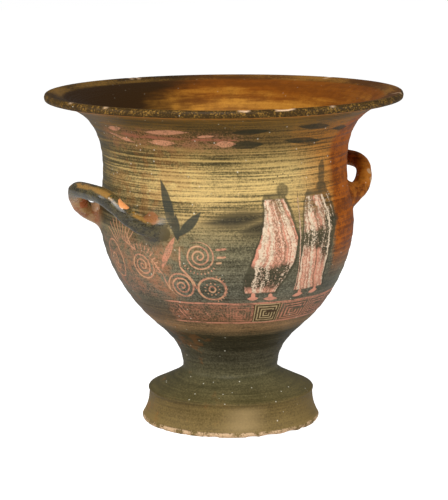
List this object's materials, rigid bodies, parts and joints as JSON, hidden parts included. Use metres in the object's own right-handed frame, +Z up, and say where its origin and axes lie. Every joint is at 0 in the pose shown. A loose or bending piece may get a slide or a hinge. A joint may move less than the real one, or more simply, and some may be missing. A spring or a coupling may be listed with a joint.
{
  "type": "bell krater",
  "caption": "Wide-mouthed painted clay bowl on a stemmed foot, with an everted lip and upturned loop handles.",
  "frame": {"origin": "on the resting surface, under the middle of the mouth", "axes": "+Z up along the pot; the handles lie towards +X and -X; the painted side that faces the viewer is towards -Y"},
  "size_m": [0.3601, 0.3601, 0.3375],
  "materials": {
    "painted_clay": "worn dark slip over orange clay, semi-gloss, with faded added pink and cream"
  },
  "bodies": {
    "root": {"krater": "painted_clay"}
  },
  "joints": []
}
